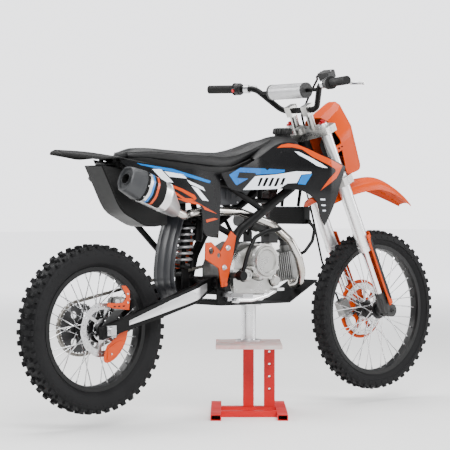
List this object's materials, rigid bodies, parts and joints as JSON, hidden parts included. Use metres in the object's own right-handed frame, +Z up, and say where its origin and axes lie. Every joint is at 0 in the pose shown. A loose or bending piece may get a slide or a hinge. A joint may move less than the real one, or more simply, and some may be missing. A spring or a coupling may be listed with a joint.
{
  "type": "off-road motorcycle on a paddock stand",
  "caption": "Light dirt bike with wire wheels, inverted fork, open engine and high fenders, standing on a fixed paddock stand; wheels, steering and side stand move.",
  "frame": {"origin": "on the floor under the middle of the whole object's bounding box", "axes": "+X forward along the bike, +Y to the rider's left, +Z up"},
  "size_m": [1.9986, 0.7648, 1.2727],
  "materials": {
    "stand_red": "gloss",
    "board_worn": "worn",
    "bright_steel": "polished",
    "frame_black": "satin",
    "guard_orange": "satin",
    "plastic_black": "matte",
    "plastic_grey": "matte",
    "plastic_orange": "gloss",
    "gloss_black": "gloss",
    "spring_grey": "satin",
    "chain_steel": "oiled",
    "alloy": "cast",
    "brushed": "brushed",
    "grey_paint": "satin",
    "seat_cover": "grained vinyl",
    "tyre_rubber": "matte",
    "rim_black": "satin",
    "hub_black": "satin",
    "sprocket_black": "satin",
    "fork_silver": "satin",
    "chrome_tube": "polished",
    "pad_silver": "coated foam",
    "grip_rubber": "matte"
  },
  "bodies": {
    "root": {"stand_frame": "stand_red", "stand_board": "board_worn", "stand_spacer": "bright_steel", "frame": "frame_black", "frame_plates": "guard_orange", "skid_plate": "plastic_black", "footpegs": "frame_black", "foot_levers": "bright_steel", "swingarm": "alloy", "rear_axle": "alloy", "shock": "frame_black", "shock_spring": "spring_grey", "mud_flap": "plastic_grey", "chain": "chain_steel", "rear_caliper": "alloy", "rear_guards": "plastic_orange", "crankcase": "alloy", "engine_covers": "alloy", "cylinder": "alloy", "intake": "plastic_black", "kick_lever": "frame_black", "exhaust_header": "bright_steel", "muffler": "brushed", "muffler_cap": "grey_paint", "oil_cooler": "frame_black", "fuel_tank": "plastic_black", "tank_cap": "plastic_black", "seat": "seat_cover", "shrouds": "gloss_black", "side_panels": "gloss_black", "rear_fender": "plastic_black"},
    "side_stand": {"side_stand": "frame_black"},
    "rear_wheel": {"rear_tyre": "tyre_rubber", "rear_rim": "rim_black", "rear_hub": "hub_black", "rear_spokes": "bright_steel", "rear_disc": "bright_steel", "rear_sprocket": "sprocket_black"},
    "steering": {"triple_clamps": "alloy", "fork_tubes": "fork_silver", "fork_sliders": "chrome_tube", "fork_feet": "frame_black", "fork_guards": "plastic_orange", "handlebar": "brushed", "bar_pad": "pad_silver", "grips": "grip_rubber", "bar_controls": "frame_black", "front_fender": "plastic_orange", "headlight_mask": "plastic_orange", "headlamp": "plastic_black", "front_caliper": "alloy", "front_guard": "plastic_orange", "brake_hose": "plastic_black"},
    "front_wheel": {"front_tyre": "tyre_rubber", "front_rim": "rim_black", "front_hub": "hub_black", "front_spokes": "bright_steel", "front_disc": "bright_steel"}
  },
  "joints": [
    {"name": "rear_wheel_spin", "type": "hinge", "parent": "root", "child": "rear_wheel", "pos_m": [-0.7045, 0, 0.343], "axis": [0, 1, 0], "continuous": true},
    {"name": "steering_turn", "type": "hinge", "parent": "root", "child": "steering", "pos_m": [0.28392, 0, 1.05754], "axis": [-0.4305, 0, 0.9026], "range_deg": [-40, 40]},
    {"name": "front_wheel_spin", "type": "hinge", "parent": "steering", "child": "front_wheel", "pos_m": [0.6865, 0, 0.361], "axis": [0, 1, 0], "continuous": true},
    {"name": "side_stand_swing", "type": "hinge", "parent": "root", "child": "side_stand", "pos_m": [-0.2055, 0.1346, 0.524], "axis": [0, -1, 0], "range_deg": [0, 120]}
  ]
}
